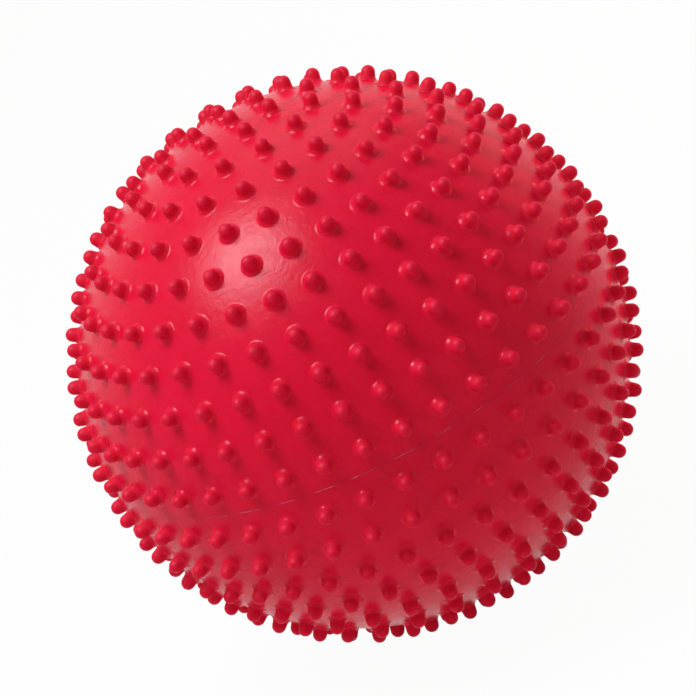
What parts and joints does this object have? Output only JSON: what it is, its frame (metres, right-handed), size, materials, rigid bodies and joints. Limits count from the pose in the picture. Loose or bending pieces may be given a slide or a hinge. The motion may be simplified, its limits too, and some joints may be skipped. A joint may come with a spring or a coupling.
{
  "type": "sensory ball",
  "caption": "Hollow soft ball covered in rows of short blunt nubs, with a thin seam round the middle and an air valve at one pole.",
  "frame": {"origin": "centre of the ball", "axes": "+Z along the axis of the rows of nubs, away from the valve; each row of the upper half has a nub on the -Y side"},
  "size_m": [0.2292, 0.2292, 0.2288],
  "materials": {
    "skin": "satin soft plastic",
    "seat": "matte",
    "plug": "matte"
  },
  "bodies": {
    "ball": {"upper_shell": "skin", "lower_shell": "skin", "valve_seat": "seat"},
    "plug": {"valve_plug": "plug"}
  },
  "joints": [
    {"name": "plug_pull", "type": "slide", "parent": "ball", "child": "plug", "axis": [0, 0, -1], "range_m": [0, 0.016]}
  ]
}
